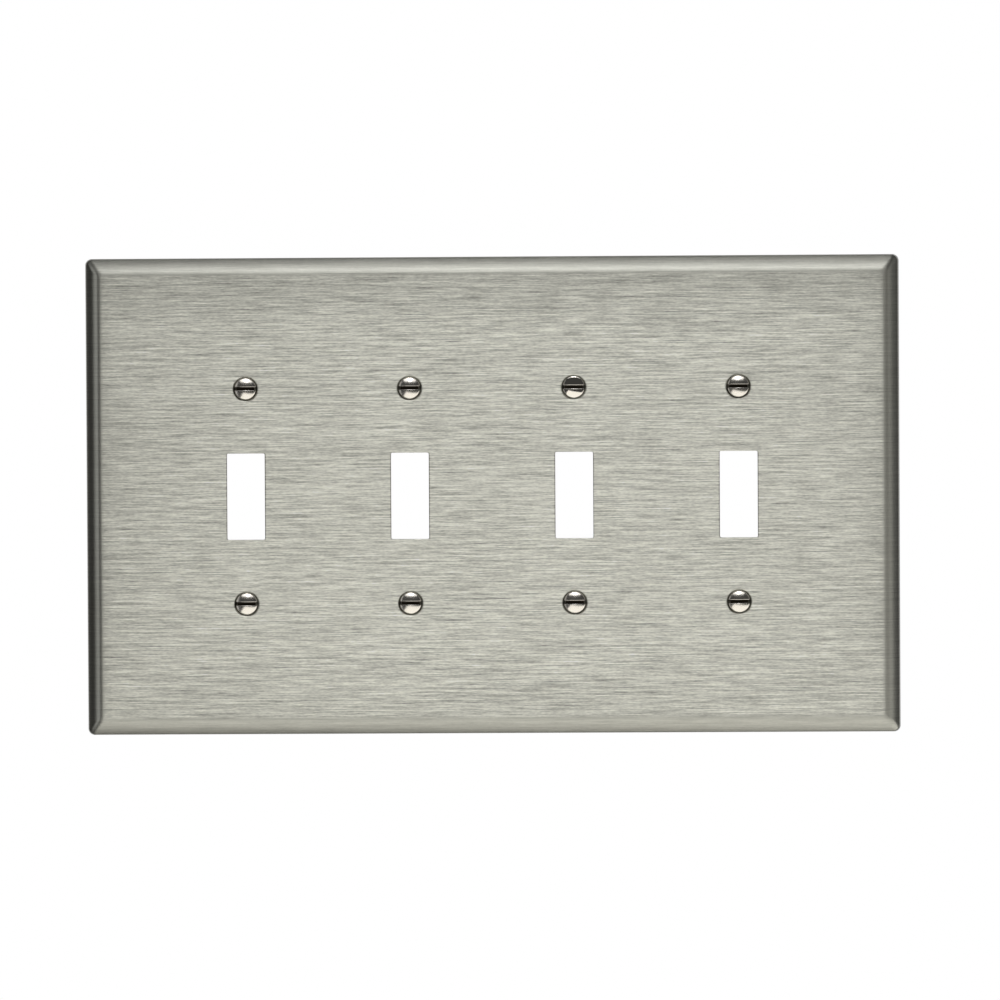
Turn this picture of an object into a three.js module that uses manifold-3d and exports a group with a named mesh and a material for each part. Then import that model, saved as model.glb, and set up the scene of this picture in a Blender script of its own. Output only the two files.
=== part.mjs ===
// Four-gang toggle wall plate in brushed stainless steel, with its eight oval-head screws.
// Millimetres. +X runs along the row of gangs, +Z is up, and the face looks along -Y.
// The origin is the middle of the wall plane, which the plate's rim rests on.
import * as THREE from "three";
import { mergeVertices } from "three/addons/utils/BufferGeometryUtils.js";
import Module from "manifold-3d";

// Driving dimensions: plate
const plateWidth = 228.6;
const plateHeight = 134.0;
const plateDepth = 5.6; // wall plane to face
const sheetThickness = 0.9;
const cornerRadius = 1.8; // outline seen from the front
// The rolled edge from the flat face outwards: outside radius, and how far it has tilted by its
// end. A slight dish, the fold, an easing slope and the turn into the straight skirt.
const edgeBends = [
  { radius: 68, tilt: THREE.MathUtils.degToRad(2.6), divisions: 1 },
  { radius: 4.1, tilt: THREE.MathUtils.degToRad(28.8), divisions: 4 },
  { radius: 8.8, tilt: THREE.MathUtils.degToRad(50), divisions: 3 },
  { radius: 1.15, tilt: THREE.MathUtils.degToRad(82.5), divisions: 3 },
];

// Driving dimensions: gangs and openings
const gangCount = 4;
const gangPitch = 46.04; // 1 13/16 in
const screwSpacing = 60.3; // 2 3/8 in between the two screws of a gang
const openingWidth = 10.6;
const openingHeight = 24.2;
const openingCornerRadius = 0.4;

// Driving dimensions: 6-32 UNC x 1/2 in oval-head screw and the dimple that it sits in
const headDiameter = 6.2;
const coneAngle = THREE.MathUtils.degToRad(82); // included angle of head and dimple
const headLand = 0.15; // short straight edge between crown and cone
const crownHeight = 1.0;
const lowCrownHeight = 0.65; // one of the eight screws has a flatter crown
const shankDiameter = 3.5;
const screwLength = 12.7; // from the head's edge to the tip
const tipChamfer = 0.5;
const slotWidth = 0.92;
const slotFloor = 0.75; // below the head's edge
const dimpleMouthDiameter = 7.0;
const dimpleDepth = 1.95; // face to the dimple's inner lip
const holeDiameter = 4.1;

// Smoothness
const roundFacets = 36;
const cornerDivisions = 4;
const crownSteps = 6;

const wasm = await Module();
wasm.setup();

const brushedStainless = new THREE.MeshStandardMaterial({ color: 0xb0afa3, roughness: 0.38, metalness: 1 });
const polishedScrew = new THREE.MeshStandardMaterial({ color: 0xd8d4c8, roughness: 0.08, metalness: 1 });

function solidFrom(geometry) {
  const bare = geometry.index ? geometry.toNonIndexed() : geometry.clone();
  bare.deleteAttribute("normal");
  bare.deleteAttribute("uv");
  const merged = mergeVertices(bare, 1e-4);
  return new wasm.Manifold(
    new wasm.Mesh({
      numProp: 3,
      vertProperties: new Float32Array(merged.attributes.position.array),
      triVerts: new Uint32Array(merged.index.array),
    }),
  );
}

function geometryFrom(solid) {
  const { vertProperties, triVerts } = solid.getMesh();
  const geometry = new THREE.BufferGeometry();
  geometry.setAttribute("position", new THREE.BufferAttribute(vertProperties, 3));
  geometry.setIndex(new THREE.BufferAttribute(triVerts, 1));
  geometry.computeVertexNormals();
  return geometry;
}

// A shape drawn in X and height above the wall, extruded over a length centred on the origin.
// It comes out running along Z, with its height towards -Y.
function runAlongZ(shape, length) {
  const options = { depth: length, bevelEnabled: false, curveSegments: cornerDivisions };
  return new THREE.ExtrudeGeometry(shape, options).translate(0, 0, -length / 2).rotateZ(Math.PI);
}

function runAlongX(shape, length) {
  return runAlongZ(shape, length).rotateY(Math.PI / 2);
}

// A shape drawn in X and Z, extruded from one height above the wall to another.
function standOnWall(shape, fromHeight, toHeight) {
  const options = { depth: toHeight - fromHeight, bevelEnabled: false, curveSegments: cornerDivisions };
  return new THREE.ExtrudeGeometry(shape, options).rotateX(Math.PI / 2).translate(0, -fromHeight, 0);
}

function roundedRectangle(width, height, radius) {
  const x = width / 2 - radius;
  const z = height / 2 - radius;
  const shape = new THREE.Shape();
  shape.absarc(x, z, radius, 0, Math.PI / 2);
  shape.absarc(-x, z, radius, Math.PI / 2, Math.PI);
  shape.absarc(-x, -z, radius, Math.PI, 1.5 * Math.PI);
  shape.absarc(x, -z, radius, 1.5 * Math.PI, 2 * Math.PI);
  shape.closePath();
  return shape;
}

// The rolled edge as points [distance out from the flat face, height above the wall]. An inset of
// 0 follows the outside and an inset of the sheet's thickness the inside. It ends at the wall
// plane, or past it on the inside, so that the hollow cuts the back open.
function edgeCurve(inset) {
  const points = [new THREE.Vector2(0, plateDepth - inset)];
  let out = 0;
  let height = plateDepth;
  let tilt = 0;
  for (const bend of edgeBends) {
    const centre = new THREE.Vector2(
      out - bend.radius * Math.sin(tilt),
      height - bend.radius * Math.cos(tilt),
    );
    for (let step = 1; step <= bend.divisions; step++) {
      const angle = Math.PI / 2 - THREE.MathUtils.lerp(tilt, bend.tilt, step / bend.divisions);
      const arm = new THREE.Vector2(bend.radius - inset, 0).rotateAround(new THREE.Vector2(), angle);
      points.push(arm.add(centre));
    }
    out = centre.x + bend.radius * Math.sin(bend.tilt);
    height = centre.y + bend.radius * Math.cos(bend.tilt);
    tilt = bend.tilt;
  }
  const last = points[points.length - 1];
  const foot = inset > 0 ? -1 : 0;
  points.push(new THREE.Vector2(last.x + (last.y - foot) / Math.tan(tilt), foot));
  return points;
}

// The plate's cross-section as a closed outline: rolled edge, face, rolled edge.
function plateSection(span, inset) {
  const outside = edgeCurve(0);
  const flat = span / 2 - outside[outside.length - 1].x;
  const right = edgeCurve(inset).map((point) => new THREE.Vector2(flat + point.x, point.y));
  const left = right.map((point) => new THREE.Vector2(-point.x, point.y)).reverse();
  return new THREE.Shape([...left, ...right]);
}

// Two crossed sections meet in mitred corners, and the rounded outline trims them.
function plateForm(inset) {
  const width = plateWidth - 2 * inset;
  const height = plateHeight - 2 * inset;
  const outline = roundedRectangle(width, height, cornerRadius - inset);
  return solidFrom(runAlongZ(plateSection(plateWidth, inset), plateHeight + 2))
    .intersect(solidFrom(runAlongX(plateSection(plateHeight, inset), plateWidth + 2)))
    .intersect(solidFrom(standOnWall(outline, -1, plateDepth + 1)));
}

// Turned shapes are drawn as [radius, height above the wall] and spun about an axis along Y.
function turned(profile) {
  const points = profile.map(([radius, height]) => new THREE.Vector2(radius, height));
  return new THREE.LatheGeometry(points, roundFacets).rotateX(Math.PI);
}

function dimpleWall() {
  const slope = Math.tan(coneAngle / 2);
  const wall = (0.8 * sheetThickness) / Math.cos(coneAngle / 2);
  const buried = 0.5 * sheetThickness;
  const lipHeight = plateDepth - dimpleDepth;
  const outerAt = (height) => dimpleMouthDiameter / 2 + wall - (plateDepth - height) * slope;
  return turned([
    [0, lipHeight],
    [outerAt(lipHeight), lipHeight],
    [outerAt(plateDepth - buried), plateDepth - buried],
    [0, plateDepth - buried],
  ]);
}

function dimpleHollow() {
  const slope = Math.tan(coneAngle / 2);
  const mouth = dimpleMouthDiameter / 2;
  const hole = holeDiameter / 2;
  const above = 0.5;
  return turned([
    [0, plateDepth - dimpleDepth - 1],
    [hole, plateDepth - dimpleDepth - 1],
    [hole, plateDepth - (mouth - hole) / slope],
    [mouth + above * slope, plateDepth + above],
    [0, plateDepth + above],
  ]);
}

const gangCentres = Array.from({ length: gangCount }, (_, gang) => (gang - (gangCount - 1) / 2) * gangPitch);
const screwRows = [
  { name: "top_screw", z: screwSpacing / 2 },
  { name: "bottom_screw", z: -screwSpacing / 2 },
];

function wallPlate() {
  const opening = roundedRectangle(openingWidth, openingHeight, openingCornerRadius);
  let plate = plateForm(0).subtract(plateForm(sheetThickness));
  for (const x of gangCentres) {
    plate = plate.subtract(solidFrom(standOnWall(opening, 1, plateDepth + 1).translate(x, 0, 0)));
    for (const { z } of screwRows) {
      plate = plate.add(solidFrom(dimpleWall().translate(x, 0, z)));
      plate = plate.subtract(solidFrom(dimpleHollow().translate(x, 0, z)));
    }
  }
  return new THREE.Mesh(geometryFrom(plate), brushedStainless);
}

// One screw about its own axis, with the head's edge at height 0.
function ovalHeadScrew(crown) {
  const head = headDiameter / 2;
  const shank = shankDiameter / 2;
  const coneEnd = -headLand - (head - shank) / Math.tan(coneAngle / 2);
  const crownRadius = (head * head + crown * crown) / (2 * crown);
  const crownSweep = Math.asin(head / crownRadius);
  const profile = [
    [0, -screwLength],
    [shank - tipChamfer, -screwLength],
    [shank, -screwLength + tipChamfer],
    [shank, coneEnd],
    [head, -headLand],
  ];
  for (let step = 0; step <= crownSteps; step++) {
    const angle = crownSweep * (1 - step / crownSteps);
    profile.push([crownRadius * Math.sin(angle), crown - crownRadius * (1 - Math.cos(angle))]);
  }
  const slotHeight = slotFloor + crown + 1;
  const slot = new THREE.BoxGeometry(headDiameter + 2, slotHeight, slotWidth);
  slot.translate(0, slotFloor - slotHeight / 2, 0);
  return new THREE.Mesh(geometryFrom(solidFrom(turned(profile)).subtract(solidFrom(slot))), polishedScrew);
}

const assembly = new THREE.Group();
const plateMesh = wallPlate();
plateMesh.name = "wall_plate";
assembly.add(plateMesh);

for (const { name, z } of screwRows) {
  gangCentres.forEach((x, gang) => {
    const low = name === "top_screw" && gang === 2;
    const screw = ovalHeadScrew(low ? lowCrownHeight : crownHeight);
    screw.name = `${name}_${gang + 1}`;
    screw.position.set(x, -plateDepth, z);
    assembly.add(screw);
  });
}

export default assembly;
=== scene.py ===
import math
import bmesh
import bpy
from mathutils import Matrix, Vector


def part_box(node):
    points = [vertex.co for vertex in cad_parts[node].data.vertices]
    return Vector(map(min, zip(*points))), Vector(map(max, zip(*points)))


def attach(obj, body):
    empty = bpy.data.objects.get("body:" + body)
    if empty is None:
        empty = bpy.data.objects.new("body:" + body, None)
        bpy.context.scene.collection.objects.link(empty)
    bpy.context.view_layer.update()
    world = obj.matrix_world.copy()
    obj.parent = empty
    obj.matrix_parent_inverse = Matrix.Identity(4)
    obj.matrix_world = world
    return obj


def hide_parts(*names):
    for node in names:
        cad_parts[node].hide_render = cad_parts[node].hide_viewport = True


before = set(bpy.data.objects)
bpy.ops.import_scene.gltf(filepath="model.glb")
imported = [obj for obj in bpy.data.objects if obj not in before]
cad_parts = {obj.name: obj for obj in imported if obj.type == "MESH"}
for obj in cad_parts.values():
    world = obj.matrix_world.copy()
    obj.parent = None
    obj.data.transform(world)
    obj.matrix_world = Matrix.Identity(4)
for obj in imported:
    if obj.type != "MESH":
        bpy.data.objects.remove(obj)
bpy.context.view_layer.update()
mm = 0.001
close = 0.01 * mm  # on the same level
touching = 0.001 * mm  # at the same place
merging = 0.0005 * mm  # one vertex, where a seam closes
snapping = 0.0001 * mm  # on the plane of a cut


def nodeCentre(node):
    low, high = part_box(node)
    return (Vector(low) + Vector(high)) / 2


def newVertsAndEdges(result):
    verts = [item for item in result["geom"] if isinstance(item, bmesh.types.BMVert)]
    known = set(verts)
    edges = [item for item in result["geom"]
             if isinstance(item, bmesh.types.BMEdge) and known.issuperset(item.verts)]
    return verts, edges


def planeCut(bm, place, normal, **options):
    everything = bm.verts[:] + bm.edges[:] + bm.faces[:]
    bmesh.ops.bisect_plane(bm, geom=everything, plane_co=place, plane_no=normal, **options)


def rounded(bm, geom, affect, offset, segments):
    bmesh.ops.bevel(bm, geom=geom, offset=offset, affect=affect, segments=segments, profile=0.5, material=-1)


def finishPiece(bm, name, material, body, nodes, smoothUpTo):
    mesh = bpy.data.meshes.new(name)
    bm.to_mesh(mesh)
    bm.free()
    mesh.shade_smooth()
    mesh.set_sharp_from_angle(angle=math.radians(smoothUpTo))
    mesh.materials.append(material)
    piece = bpy.data.objects.new(name, mesh)
    bpy.context.scene.collection.objects.link(piece)
    even = piece.modifiers.new("even normals", "WEIGHTED_NORMAL")
    even.keep_sharp = True
    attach(piece, body)
    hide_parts(*nodes)
    return piece


def newMaterial(name):
    material = bpy.data.materials.new(name)
    material.use_nodes = True
    return material, material.node_tree, material.node_tree.nodes["Principled BSDF"]


def addNode(tree, kind, **values):
    # A value goes to the node's own setting of that name, or else to its input socket.
    node = tree.nodes.new(kind)
    for key, value in values.items():
        if hasattr(node, key):
            setattr(node, key, value)
        else:
            node.inputs[key].default_value = value
    return node


def attribute(tree, name):
    return addNode(tree, "ShaderNodeAttribute", attribute_name=name).outputs["Fac"]


def maths(tree, operation, first, second=0):
    node = addNode(tree, "ShaderNodeMath", operation=operation)
    for socket, value in zip(node.inputs, (first, second)):
        if isinstance(value, (int, float)):
            socket.default_value = value
        else:
            tree.links.new(value, socket)
    return node.outputs[0]


def mapped(tree, value, low, high, newLow, newHigh):
    limits = {"From Min": low, "From Max": high, "To Min": newLow, "To Max": newHigh}
    ramp = addNode(tree, "ShaderNodeMapRange", **limits)
    tree.links.new(value, ramp.inputs["Value"])
    return ramp.outputs["Result"]


def mixedColour(tree, factor, first, second):
    mix = addNode(tree, "ShaderNodeMix", data_type="RGBA")
    firstColour, secondColour, mixed = mix.inputs[6], mix.inputs[7], mix.outputs[2]  # the RGBA ones
    firstColour.default_value = (*first, 1)
    secondColour.default_value = (*second, 1)
    tree.links.new(factor, mix.inputs["Factor"])
    return mixed


brushedLook = {
    "colour": (0.73, 0.729, 0.658),
    "insideColour": (0.68, 0.67, 0.63),
    # share of the grain, length, width, noise detail
    "streaks": [(0.5, 7 * mm, 0.28 * mm, 2), (0.28, 24 * mm, 0.4 * mm, 1), (0.22, 1.3 * mm, 0.26 * mm, 1)],
    "streakReach": 25 * mm,  # how far a streak keeps its pattern through the sheet and its bends
    "noiseRoughness": 0.6,
    "noiseStart": (3.1, 4.6),  # where the first size of streak starts in the noise, and the step to the next
    "noiseRange": (0.3, 0.7),  # the noise that counts as darkest and as lightest
    "streakDepth": 0.64,  # how far the streaks darken and lighten the metal
    "insideGrain": 0.4,  # the streaks' share of that on the sheet's inside
    "roughness": 0.457,
    "anisotropy": 0.9,
    "grooveHeight": 0.0025 * mm,
    "rollStart": (5.4 * mm, 4.4 * mm),  # from the outline, where the face gives way to the rolled edge
    "rollSheen": 0.81,  # the rolled edge against the face
    "rollRoughness": 0.379,
    "rollGrain": 0.3,  # what the forming dies leave of the grain on the rolled edge and in the dimples
    # painted shadow of the screw head over its dimple: share of the colour left there
    "dimpleShadow": 0.5,
    # painted shade along the outline and the upper edge: share left, up to this far in, even from here on
    "edgeShade": (0.93, 5 * mm, 24 * mm),
    "topShade": (0.82, 5 * mm, 20 * mm),
}


def brushedGrain(tree, place):
    grain = 0.0
    first, step = brushedLook["noiseStart"]
    for number, (share, length, width, detail) in enumerate(brushedLook["streaks"]):
        start = first + step * number
        scale = (1 / length, 1 / brushedLook["streakReach"], 1 / width)
        stretched = addNode(tree, "ShaderNodeMapping", Location=(start, 0, start * 2), Scale=scale)
        noise = addNode(tree, "ShaderNodeTexNoise", Scale=1.0, Detail=detail,
                        Roughness=brushedLook["noiseRoughness"])
        tree.links.new(place, stretched.inputs["Vector"])
        tree.links.new(stretched.outputs["Vector"], noise.inputs["Vector"])
        grain = maths(tree, "ADD", maths(tree, "MULTIPLY", noise.outputs["Fac"], share), grain)
    return grain


def makeBrushedStainless():
    look = brushedLook
    material, tree, shader = newMaterial("brushed stainless")
    link = tree.links.new
    place = addNode(tree, "ShaderNodeTexCoord").outputs["Object"]
    grain = brushedGrain(tree, place)

    # How far in from the outline a spot is, and how much it belongs to the rolled edge, 0 to 1
    split = addNode(tree, "ShaderNodeSeparateXYZ")
    link(place, split.inputs["Vector"])
    fromSide = maths(tree, "SUBTRACT", plateHigh[0], maths(tree, "ABSOLUTE", split.outputs["X"]))
    fromEnd = maths(tree, "SUBTRACT", plateHigh[2], maths(tree, "ABSOLUTE", split.outputs["Z"]))
    fromTop = maths(tree, "SUBTRACT", plateHigh[2], split.outputs["Z"])
    fromOutline = maths(tree, "MINIMUM", fromSide, fromEnd)
    rolled = mapped(tree, fromOutline, *look["rollStart"], 0, 1)
    pressed = attribute(tree, "pressed")
    inside = attribute(tree, "inside")
    formed = maths(tree, "MAXIMUM", rolled, pressed)

    # Streaks, which fade where the sheet is formed and inside it
    depth = mapped(tree, formed, 0, 1, look["streakDepth"], look["streakDepth"] * look["rollGrain"])
    depth = maths(tree, "MULTIPLY", depth, mapped(tree, inside, 0, 1, 1, look["insideGrain"]))
    streak = maths(tree, "MULTIPLY", mapped(tree, grain, *look["noiseRange"], -1, 1), depth)
    # The rolled edge's colour against the face's, times a painted shadow of the screw head in each dimple
    rollSheenAndDimpleShadow = maths(tree, "MULTIPLY", mapped(tree, rolled, 0, 1, 1, look["rollSheen"]),
                  mapped(tree, pressed, 0, 1, 1, look["dimpleShadow"]))
    # Painted shade: darker towards the outline, and more so along the upper edge of the face
    darkest, edge, even = look["edgeShade"]
    edgeShade = mapped(tree, fromOutline, edge, even, darkest, 1)
    darkest, edge, even = look["topShade"]
    topShade = maths(tree, "MAXIMUM", mapped(tree, fromTop, edge, even, darkest, 1), rolled)
    shade = maths(tree, "ADD", streak, 1)
    for part in (rollSheenAndDimpleShadow, edgeShade, topShade):
        shade = maths(tree, "MULTIPLY", shade, part)
    tint = addNode(tree, "ShaderNodeVectorMath", operation="SCALE")
    link(mixedColour(tree, inside, look["colour"], look["insideColour"]), tint.inputs[0])
    link(shade, tint.inputs["Scale"])
    link(tint.outputs["Vector"], shader.inputs["Base Color"])

    bump = addNode(tree, "ShaderNodeBump", Distance=look["grooveHeight"])
    link(mapped(tree, formed, 0, 1, 1, look["rollGrain"]), bump.inputs["Strength"])
    link(grain, bump.inputs["Height"])
    link(bump.outputs["Normal"], shader.inputs["Normal"])
    shader.inputs["Metallic"].default_value = 1
    roughness = mapped(tree, formed, 0, 1, look["roughness"], look["rollRoughness"])
    link(roughness, shader.inputs["Roughness"])
    shader.inputs["Anisotropic"].default_value = look["anisotropy"]
    across = addNode(tree, "ShaderNodeCombineXYZ", Z=1.0)
    link(across.outputs["Vector"], shader.inputs["Tangent"])
    return material


polishedLook = {
    "colour": (0.86, 0.82, 0.75),
    "roughness": 0.19,
    "lowCrownRoughness": 0.08,
    # painted shadow down in the slot, between its walls
    "slotShadowColour": (0.10, 0.085, 0.065),
    "slotRoughness": 0.5,
    "ripple": 0.002 * mm,
    "rippleSize": 0.9 * mm,
}


def makePolishedScrew(name, roughness):
    look = polishedLook
    material, tree, shader = newMaterial(name)
    link = tree.links.new
    place = addNode(tree, "ShaderNodeTexCoord")
    noise = addNode(tree, "ShaderNodeTexNoise", Scale=1 / look["rippleSize"], Detail=2.0)
    link(place.outputs["Object"], noise.inputs["Vector"])
    bump = addNode(tree, "ShaderNodeBump", Strength=1.0, Distance=look["ripple"])
    link(noise.outputs["Fac"], bump.inputs["Height"])
    link(bump.outputs["Normal"], shader.inputs["Normal"])
    cut = attribute(tree, "cut")
    # The slot's faces get the painted shadow colour, and a higher roughness for the sawn metal
    link(mixedColour(tree, cut, look["colour"], look["slotShadowColour"]), shader.inputs["Base Color"])
    link(mapped(tree, cut, 0, 1, roughness, look["slotRoughness"]), shader.inputs["Roughness"])
    shader.inputs["Metallic"].default_value = 1
    return material


plateLow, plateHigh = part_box("wall_plate")
faceY = plateLow[1]
brushedStainless = makeBrushedStainless()
polishedNickel = makePolishedScrew("polished nickel", polishedLook["roughness"])
brightNickel = makePolishedScrew("bright nickel", polishedLook["lowCrownRoughness"])
print("materials ready")

plateShape = {
    "sheet": 0.9 * mm,
    # radius, up to this tilt, steps: a slight dish, the fold, the easing slope, the turn into the skirt
    "bends": [(68 * mm, 2.6, 4), (4.1 * mm, 28.8, 8), (8.8 * mm, 50, 8), (1.15 * mm, 82.5, 7)],
    "foldCorner": 0.3 * mm,  # rounding where the flat face ends
    "outlineCorner": 1.8 * mm,
    "cornerSteps": 8,
    "opening": (10.6 * mm, 24.2 * mm),
    "openingCorner": 0.4 * mm,
    "openingSteps": 6,
    "openingMargin": 0.45 * mm,  # from an opening to the cut lines above and below it
    "edgeRoll": 0.3 * mm,  # the punch rounds the front edge of each opening
    "edgeRollSteps": 5,
    "edgeBreak": 0.08 * mm,  # the other cut edges
    "edgeBreakSteps": 2,
    "cutEdgeAngle": 50,  # edges that turn more than this are cut edges
    "rimReach": 0.3 * mm,  # what ends this near the wall plane is laid flat on it
    "backReach": 0.1 * mm,  # cut edges this near the rim or the back of the face belong to it
    "dishCell": 5.75 * mm,  # from a dimple's middle to the cut lines round it
    "dishSteps": 72,
    "coneAngle": 41,  # dimple wall to screw axis
    "mouthRadius": 3.5 * mm,
    "mouthBlend": 0.6 * mm,
    "mouthSteps": 6,
    "holeRadius": 2.05 * mm,
    "pressedDepth": 0.3 * mm,  # below this the dimple has lost the face's grain and takes the full painted shadow of the screw head
    "smoothUpTo": 40,
}


def rollProfile(depth):
    # Steps from the flat face outwards: how far out and how far down from where the face ends.
    out, down, tilt = 0.0, 0.0, 0.0
    profile = []
    for radius, degrees, steps in plateShape["bends"]:
        end = math.radians(degrees)
        for step in range(1, steps + 1):
            angle = tilt + (end - tilt) * step / steps
            profile.append((out + radius * (math.sin(angle) - math.sin(tilt)),
                            down + radius * (math.cos(tilt) - math.cos(angle))))
        out, down, tilt = *profile[-1], end
    profile.append((out + (depth - down) / math.tan(tilt), depth))
    return profile


def dishProfile():
    # The dimple from its outer edge inwards: radius and depth below the face.
    slope = math.radians(90 - plateShape["coneAngle"])
    blend = plateShape["mouthBlend"]
    start = plateShape["mouthRadius"] + blend * math.tan(slope / 2)
    steps = plateShape["mouthSteps"]
    profile = [(start - blend * math.sin(slope * i / steps), blend * (1 - math.cos(slope * i / steps)))
               for i in range(steps + 1)]
    hole = plateShape["holeRadius"]
    radius, depth = profile[-1]
    profile.append((hole, depth + (radius - hole) * math.tan(slope)))
    return profile


def moveRing(verts, old, new):
    # Grows a ring with rounded corners; a size is half width, half height, corner radius, y.
    oldX, oldZ = old[0] - old[2], old[1] - old[2]
    newX, newZ = new[0] - new[2], new[1] - new[2]
    for vert in verts:
        x, z = abs(vert.co.x), abs(vert.co.z)
        if x > oldX - touching and z > oldZ - touching:
            x, z = newX + (x - oldX) * new[2] / old[2], newZ + (z - oldZ) * new[2] / old[2]
        elif x > oldX:
            x = new[0]
        else:
            z = new[1]
        vert.co = (math.copysign(x, vert.co.x), new[3], math.copysign(z, vert.co.z))


def standAtFace(bm, verts, x, z):
    bmesh.ops.rotate(bm, matrix=Matrix.Rotation(math.pi / 2, 3, "X"), verts=verts)
    bmesh.ops.translate(bm, vec=(x, faceY, z), verts=verts)


def addRectangle(bm, x, width, height):
    verts = bmesh.ops.create_grid(bm, x_segments=1, y_segments=1, size=0.5)["verts"]
    bmesh.ops.scale(bm, vec=(width, height, 1), verts=verts)
    standAtFace(bm, verts, x, 0)
    return verts


def cutCell(bm, x, z):
    # Takes out the face whose middle is nearest, and gives the edges round the gap.
    spot = Vector((x, faceY, z))
    cell = min(bm.faces, key=lambda face: (face.calc_center_median() - spot).length)
    edges = cell.edges[:]
    bmesh.ops.delete(bm, geom=[cell], context="FACES_ONLY")
    return edges


def fillBetween(bm, outer, inner):
    bmesh.ops.triangle_fill(bm, use_beauty=True, use_dissolve=False, normal=(0, -1, 0),
                            edges=outer + inner)


screwNames = [f"{row}_screw_{gang}" for row in ("top", "bottom") for gang in (1, 2, 3, 4)]
decimals = 5  # of a metre
gangs = sorted({round(nodeCentre(name).x, decimals) for name in screwNames})
screwHeight = nodeCentre("top_screw_1").z


def addFaceWithCutLines(bm, foldWidth, foldHeight):
    shape = plateShape
    addRectangle(bm, 0, 2 * foldWidth, 2 * foldHeight)
    cell = shape["dishCell"]
    openingCell = shape["opening"][1] / 2 + shape["openingMargin"]
    for x in [gang + side * cell for gang in gangs for side in (-1, 1)]:
        planeCut(bm, (x, 0, 0), (1, 0, 0))
    for height in (openingCell, screwHeight - cell, screwHeight + cell):
        for side in (-1, 1):
            planeCut(bm, (0, 0, side * height), (0, 0, 1))


def addRolledEdge(bm, foldWidth, foldHeight, profile):
    shape = plateShape
    corners = [vert for vert in bm.verts if len(vert.link_edges) == 2]
    rounded(bm, corners, "VERTICES", shape["foldCorner"], shape["cornerSteps"])
    ring = [edge for edge in bm.edges if edge.is_boundary]
    size = (foldWidth, foldHeight, shape["foldCorner"], faceY)
    widest = profile[-1][0]
    for out, down in profile:
        corner = shape["foldCorner"] + (shape["outlineCorner"] - shape["foldCorner"]) * out / widest
        nextSize = (foldWidth + out, foldHeight + out, corner, faceY + down)
        verts, ring = newVertsAndEdges(bmesh.ops.extrude_edge_only(bm, edges=ring))
        moveRing(verts, size, nextSize)
        size = nextSize


def addOpening(bm, x):
    outer = cutCell(bm, x, 0)
    corners = addRectangle(bm, x, *plateShape["opening"])
    rounded(bm, corners, "VERTICES", plateShape["openingCorner"], plateShape["openingSteps"])
    fillBetween(bm, outer, cutCell(bm, x, 0))


def addDimple(bm, x, z, dish, pressed):
    outer = cutCell(bm, x, z)
    verts = bmesh.ops.create_circle(bm, segments=plateShape["dishSteps"], radius=dish[0][0])["verts"]
    ring = list(dict.fromkeys(edge for vert in verts for edge in vert.link_edges))
    standAtFace(bm, verts, x, z)
    fillBetween(bm, outer, ring)
    here = Matrix.Translation((-x, 0, -z))
    for (before, high), (radius, depth) in zip(dish, dish[1:]):
        verts, ring = newVertsAndEdges(bmesh.ops.extrude_edge_only(bm, edges=ring))
        bmesh.ops.scale(bm, vec=(radius / before, 1, radius / before), space=here, verts=verts)
        bmesh.ops.translate(bm, vec=(0, depth - high, 0), verts=verts)
        for vert in verts:
            vert[pressed] = min(1, depth / plateShape["pressedDepth"])


def makeWallPlate():
    shape = plateShape
    profile = rollProfile(-faceY)
    foldInset = profile[-1][0]
    foldWidth, foldHeight = plateHigh[0] - foldInset, plateHigh[2] - foldInset
    print("plate: flat face ends", round(foldInset / mm, 2), "mm in from the outline")

    bm = bmesh.new()
    pressed = bm.verts.layers.float.new("pressed")  # 1 where the sheet is pressed in for a screw; the material paints the head's shadow there too
    inside = bm.faces.layers.float.new("inside")  # 1 on the sheet's inside
    addFaceWithCutLines(bm, foldWidth, foldHeight)
    addRolledEdge(bm, foldWidth, foldHeight, profile)
    for x in gangs:
        addOpening(bm, x)
    dish = dishProfile()
    for x in gangs:
        for z in (-screwHeight, screwHeight):
            addDimple(bm, x, z, dish, pressed)
    bmesh.ops.remove_doubles(bm, verts=bm.verts, dist=merging)
    bmesh.ops.recalc_face_normals(bm, faces=bm.faces)
    flat = max(bm.faces, key=lambda face: face.calc_area())
    if flat.normal.y > 0:
        bmesh.ops.reverse_faces(bm, faces=bm.faces)

    # Thickness, then a flat rim on the wall plane
    outside = set(bm.faces)
    bmesh.ops.solidify(bm, geom=bm.faces[:], thickness=shape["sheet"])
    for face in set(bm.faces) - outside:
        face[inside] = 1
    for vert in bm.verts:
        if vert.co.y > -shape["rimReach"]:
            vert.co.y = 0

    def cutEdges(test):
        return [edge for edge in bm.edges
                if len(edge.link_faces) == 2 and edge.calc_face_angle() > math.radians(shape["cutEdgeAngle"])
                and all(test(vert.co) for vert in edge.verts)]

    def onOpeningFront(co):
        return abs(co.z) < shape["opening"][1] and abs(co.y - faceY) < close

    def onRimOrBack(co):
        inFlat = abs(co.x) < foldWidth and abs(co.z) < foldHeight
        behindSheet = co.y > faceY + shape["sheet"] - shape["backReach"]
        return co.y > -shape["backReach"] or inFlat and behindSheet

    # The punch rounds the openings' front edges; the other cut edges are only broken
    rounded(bm, cutEdges(onOpeningFront), "EDGES", shape["edgeRoll"], shape["edgeRollSteps"])
    rounded(bm, cutEdges(onRimOrBack), "EDGES", shape["edgeBreak"], shape["edgeBreakSteps"])
    return finishPiece(bm, "stamped_plate", brushedStainless, "plate", ["wall_plate"],
                       shape["smoothUpTo"])


stampedPlate = makeWallPlate()
print("wall plate:", len(stampedPlate.data.polygons), "faces")

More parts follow.
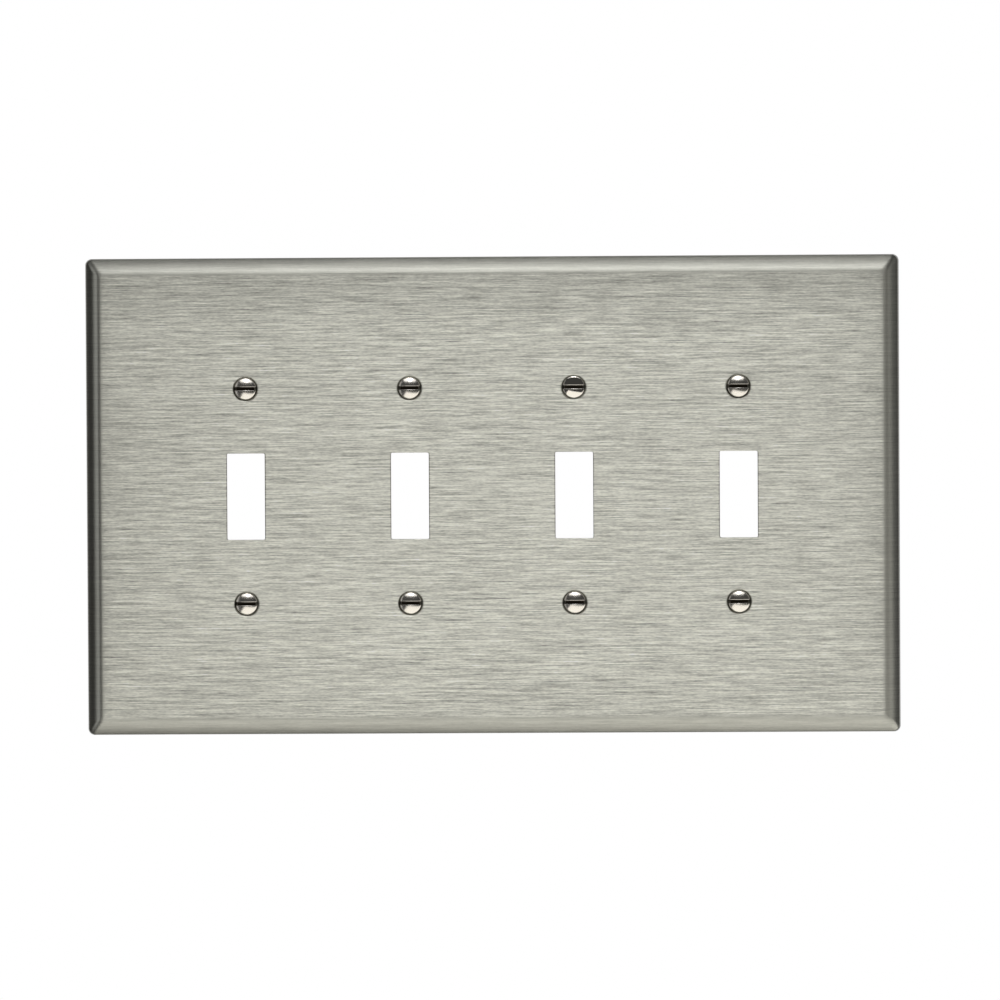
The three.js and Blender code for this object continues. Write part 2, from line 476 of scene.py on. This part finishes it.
screwShape = {
    "headRadius": 3.1 * mm,
    "coneAngle": 41,  # side of the head to screw axis
    "crown": (7.2 * mm, 0.6 * mm, 0.98 * mm),  # radius over the top, radius at the rim, height
    "lowCrown": (9.8 * mm, 0.4 * mm, 0.62 * mm),
    "lowCrownLean": 3,  # degrees that it looks down, out of square with its shank
    "lowCrowned": ["top_screw_3"],  # one screw is from another batch, with a flatter crown
    "crownSteps": 14,
    "rimSteps": 8,
    "aroundSteps": 96,
    "slotWidth": 0.92 * mm,
    "slotFloor": 0.75 * mm,  # behind the plate's face
    "slotEdge": 0.17 * mm,  # the slot's edges are rounded by this much
    "slotEdgeSteps": 3,
    "hang": 0.12 * mm,  # the plate's weight rests on its screws, so they sit high in their dimples
    "threadRadius": 1.75 * mm,  # at the crests
    "rootRadius": 1.32 * mm,
    "pitch": 0.794 * mm,
    "flank": 0.42,  # share of one pitch
    "crestWidth": 0.12,  # share of one pitch
    "turnSteps": 36,
    "spareTurns": 1.5,  # turned past each end and cut off again
    "neckLength": 0.3 * mm,  # plain, between the head and the thread
    "runOutSlope": 0.875,  # how steeply the first thread rises from the neck
    "length": 12.7 * mm,
    "tipChamfer": 0.5 * mm,
    "tipCore": 0.6,  # the least that the chamfer leaves of the root radius
    "smoothUpTo": 35,
}


def screwHead(bm, crown):
    # Built about the Y axis, with the face it sits in at y = 0 and its crown towards -Y.
    shape = screwShape
    head, neck = shape["headRadius"], shape["rootRadius"]
    domeRadius, rimRadius, height = crown
    sweep = math.asin((head - rimRadius) / (domeRadius - rimRadius))
    rimX, rimY = head - rimRadius, domeRadius - height - (domeRadius - rimRadius) * math.cos(sweep)
    profile = []
    for step in range(shape["crownSteps"] + 1):
        angle = sweep * step / shape["crownSteps"]
        profile.append((domeRadius * math.sin(angle), domeRadius * (1 - math.cos(angle)) - height))
    for step in range(1, shape["rimSteps"] + 1):
        angle = sweep + (math.pi / 2 - sweep) * step / shape["rimSteps"]
        profile.append((rimX + rimRadius * math.sin(angle), rimY - rimRadius * math.cos(angle)))
    neckY = rimY + (head - neck) / math.tan(math.radians(shape["coneAngle"]))
    profile.append((neck, neckY))
    verts = [bm.verts.new((radius, y, 0)) for radius, y in profile]
    edges = [bm.edges.new(pair) for pair in zip(verts, verts[1:])]
    bmesh.ops.spin(bm, geom=verts + edges, cent=(0, 0, 0), axis=(0, 1, 0), angle=2 * math.pi,
                   steps=shape["aroundSteps"], use_merge=True)
    bmesh.ops.remove_doubles(bm, verts=bm.verts, dist=merging)
    return neckY


def cutSlot(bm):
    shape = screwShape
    cut = bm.faces.layers.float["cut"]
    half, floor, rounding = shape["slotWidth"] / 2, shape["slotFloor"], shape["slotEdge"]
    steps = shape["slotEdgeSteps"]
    for side in (-1, 1):
        for step in range(steps + 1):
            planeCut(bm, (0, 0, side * (half + rounding * step / steps)), (0, 0, 1), dist=snapping)
    planeCut(bm, (0, floor, 0), (0, 1, 0), dist=snapping)
    for vert in bm.verts:
        reach = half + rounding - abs(vert.co.z)
        if 0 < reach < rounding + touching and vert.co.y < 0:
            into = min(1, reach / rounding)
            vert.co.y += rounding * (1 - math.sqrt(1 - into * into))
    sawn = [face for face in bm.faces
            if abs(face.calc_center_median().z) < half and face.calc_center_median().y < floor]
    bmesh.ops.delete(bm, geom=sawn, context="FACES")
    gap = [edge for edge in bm.edges
           if edge.is_boundary and all(vert.co.y < floor + touching for vert in edge.verts)]

    def onWall(edge, side):
        return all(abs(vert.co.z - side * half) < touching for vert in edge.verts)

    # Each wall gets a line along its foot and one face, then the floor closes the slot
    floorLines = []
    for side in (-1, 1):
        wall = [edge for edge in gap if onWall(edge, side)]
        corners = dict.fromkeys(vert for edge in wall for vert in edge.verts)
        floorLines.append(bm.edges.new([vert for vert in corners if abs(vert.co.y - floor) < touching]))
        made = bmesh.ops.contextual_create(bm, geom=wall + floorLines[-1:])
        made["faces"][0][cut] = 1
    arcs = [edge for edge in gap if not onWall(edge, 1) and not onWall(edge, -1)]
    made = bmesh.ops.contextual_create(bm, geom=arcs + floorLines)
    made["faces"][0][cut] = 1


def screwThread(bm, start):
    shape = screwShape
    pitch, crest, root, length = shape["pitch"], shape["threadRadius"], shape["rootRadius"], shape["length"]
    flank, crestEnd = shape["flank"], shape["flank"] + shape["crestWidth"]
    turns = math.ceil((length - start) / pitch + 2 * shape["spareTurns"])
    begin = start - shape["spareTurns"] * pitch
    profile = [(root, 0), (crest, flank), (crest, crestEnd), (root, crestEnd + flank), (root, 1)]
    verts = [bm.verts.new((radius, begin + part * pitch, 0)) for radius, part in profile]
    edges = [bm.edges.new(pair) for pair in zip(verts, verts[1:])]
    steps = shape["turnSteps"]
    bmesh.ops.spin(bm, geom=verts + edges, cent=(0, 0, 0), axis=(0, 1, 0), dvec=(0, pitch / steps, 0),
                   angle=2 * math.pi * turns, steps=steps * turns)
    bmesh.ops.remove_doubles(bm, verts=bm.verts, dist=touching)

    # The thread runs out into the neck at one end and into the chamfer at the other
    for vert in bm.verts:
        radius = math.hypot(vert.co.x, vert.co.z)
        runOut = root + (vert.co.y - start) * shape["runOutSlope"]
        chamfer = crest + length - shape["tipChamfer"] - vert.co.y
        most = min(runOut, chamfer)
        if radius > most:
            shrink = max(most, root * shape["tipCore"]) / radius
            vert.co.x, vert.co.z = vert.co.x * shrink, vert.co.z * shrink
    for y, side in ((start, -1), (length, 1)):
        planeCut(bm, (0, y, 0), (0, side, 0), clear_outer=True, dist=snapping)
    tip = [edge for edge in bm.edges if edge.is_boundary and edge.verts[0].co.y > length - close]
    bmesh.ops.contextual_create(bm, geom=tip)


def joined(bm, other):
    # Adds another bmesh's geometry to this one.
    mesh = bpy.data.meshes.new("part of a screw")
    other.to_mesh(mesh)
    other.free()
    bm.from_mesh(mesh)
    bpy.data.meshes.remove(mesh)


def makeScrew(node):
    shape = screwShape
    bm = bmesh.new()
    bm.faces.layers.float.new("cut")  # 1 on the slot's sawn faces: rougher there, and darkened by a painted shadow
    low = node in shape["lowCrowned"]
    neckY = screwHead(bm, shape["lowCrown"] if low else shape["crown"])
    if low:
        lean = math.tan(math.radians(shape["lowCrownLean"]))
        for vert in bm.verts:
            if vert.co.y < neckY - close:
                vert.co.y -= vert.co.z * lean
    cutSlot(bm)
    thread = bmesh.new()
    screwThread(thread, neckY + shape["neckLength"])
    joined(bm, thread)
    neck = [edge for edge in bm.edges if edge.is_boundary]
    bmesh.ops.bridge_loops(bm, edges=neck)
    bmesh.ops.recalc_face_normals(bm, faces=bm.faces)
    centre = nodeCentre(node)
    bmesh.ops.translate(bm, vec=(centre.x, faceY, centre.z + shape["hang"]), verts=bm.verts)
    material = brightNickel if low else polishedNickel
    return finishPiece(bm, node + "_turned", material, node, [node], shape["smoothUpTo"])


screws = [makeScrew(name) for name in screwNames]
print("screws:", len(screws), "with", len(screws[0].data.polygons), "faces each")

stageSetup = {
    "floorHeight": -1.1,
    "floorRadius": 3.2,
    "floorSteps": 96,
    "floorColour": (0.86, 0.86, 0.85),
    "floorRoughness": 0.9,
    "floorGlow": 0.8,  # lit from below like a light table, so that it stays pale from every side
    "skyColour": (1, 1, 1),  # what the camera sees behind the object
    "roomColour": (0.045, 0.045, 0.044),  # what the metal mirrors between the lights
}
lightSetup = {
    # in metres: where the middle is, what it points at, size; then brightness and colour
    "overhead softbox": ((0, -1.197, 1.04), (0, -1.18, 0), (1.64, 1.13), 1.22, (1, 1, 1)),
    "softbox centre": ((0.02, -1.197, 1.03), (0.02, -1.18, 0), (0.55, 1.13), 2.1, (1, 1, 1)),
    "low bounce": ((0.136, -0.261, -0.388), (0, 0, 0), (1.09, 0.63), 1.03, (1, 0.98, 0.93)),
    "left strip": ((-0.919, -0.564, 0.0), (0, 0, 0), (0.522, 1.4), 0.435, (1, 1, 1)),
    "right strip": ((0.565, -0.131, 0.0), (0, 0, 0), (0.402, 1.4), 0.09, (1, 1, 1)),
    "behind left": ((-1.06, 1.06, 0.0), (0, 0, 0), (1.25, 2.0), 0.4, (1, 1, 1)),
    "behind middle": ((0.0, 1.5, 0.0), (0, 0, 0), (1.25, 2.0), 0.4, (1, 1, 1)),
    "behind right": ((1.06, 1.06, 0.0), (0, 0, 0), (1.25, 2.0), 0.4, (1, 1, 1)),
}
cameraSetup = {
    "place": (0.0354, -1.5049, 0.0267),
    "aim": (0.0022, -0.0056, -0.0013),
    "roll": -0.33,
    "lens": 192.75,
    "sensor": 36,
}


def turnTowards(place, target):
    return (Vector(target) - Vector(place)).to_track_quat("-Z", "Y")


def makeStage():
    scene = bpy.context.scene
    bm = bmesh.new()
    bmesh.ops.create_circle(bm, cap_ends=True, segments=stageSetup["floorSteps"],
                            radius=stageSetup["floorRadius"])
    bmesh.ops.translate(bm, vec=(0, 0, stageSetup["floorHeight"]), verts=bm.verts)
    mesh = bpy.data.meshes.new("floor")
    bm.to_mesh(mesh)
    bm.free()
    material, tree, shader = newMaterial("pale floor")
    shader.inputs["Base Color"].default_value = (*stageSetup["floorColour"], 1)
    shader.inputs["Roughness"].default_value = stageSetup["floorRoughness"]
    shader.inputs["Emission Color"].default_value = (*stageSetup["floorColour"], 1)
    shader.inputs["Emission Strength"].default_value = stageSetup["floorGlow"]
    mesh.materials.append(material)
    floor = bpy.data.objects.new("floor", mesh)
    floor.visible_glossy = False  # the metal mirrors the room, not the floor
    scene.collection.objects.link(floor)

    world = bpy.data.worlds.new("studio")
    scene.world = world
    world.use_nodes = True
    tree = world.node_tree
    room = tree.nodes["Background"]
    room.inputs["Color"].default_value = (*stageSetup["roomColour"], 1)
    sky = addNode(tree, "ShaderNodeBackground")
    sky.inputs["Color"].default_value = (*stageSetup["skyColour"], 1)
    path = addNode(tree, "ShaderNodeLightPath")
    mix = addNode(tree, "ShaderNodeMixShader")
    tree.links.new(path.outputs["Is Camera Ray"], mix.inputs[0])
    tree.links.new(room.outputs[0], mix.inputs[1])
    tree.links.new(sky.outputs[0], mix.inputs[2])
    tree.links.new(mix.outputs[0], tree.nodes["World Output"].inputs["Surface"])

    for name, (place, target, size, brightness, colour) in lightSetup.items():
        light = bpy.data.lights.new(name, "AREA")
        light.shape = "RECTANGLE"
        light.size, light.size_y = size
        light.energy = brightness * math.pi * size[0] * size[1]
        light.color = colour
        lamp = bpy.data.objects.new(name, light)
        lamp.location = place
        lamp.rotation_euler = turnTowards(place, target).to_euler()
        lamp.visible_camera = False
        scene.collection.objects.link(lamp)


def makeCamera():
    scene = bpy.context.scene
    data = bpy.data.cameras.new("camera")
    data.lens = cameraSetup["lens"]
    data.sensor_width = cameraSetup["sensor"]
    camera = bpy.data.objects.new("camera", data)
    camera.location = cameraSetup["place"]
    look = turnTowards(cameraSetup["place"], cameraSetup["aim"]).to_matrix()
    roll = Matrix.Rotation(math.radians(cameraSetup["roll"]), 3, "Z")
    camera.rotation_euler = (look @ roll).to_euler()
    scene.collection.objects.link(camera)
    scene.camera = camera
    scene.view_settings.view_transform = "Standard"


makeStage()
makeCamera()
print("stage ready")
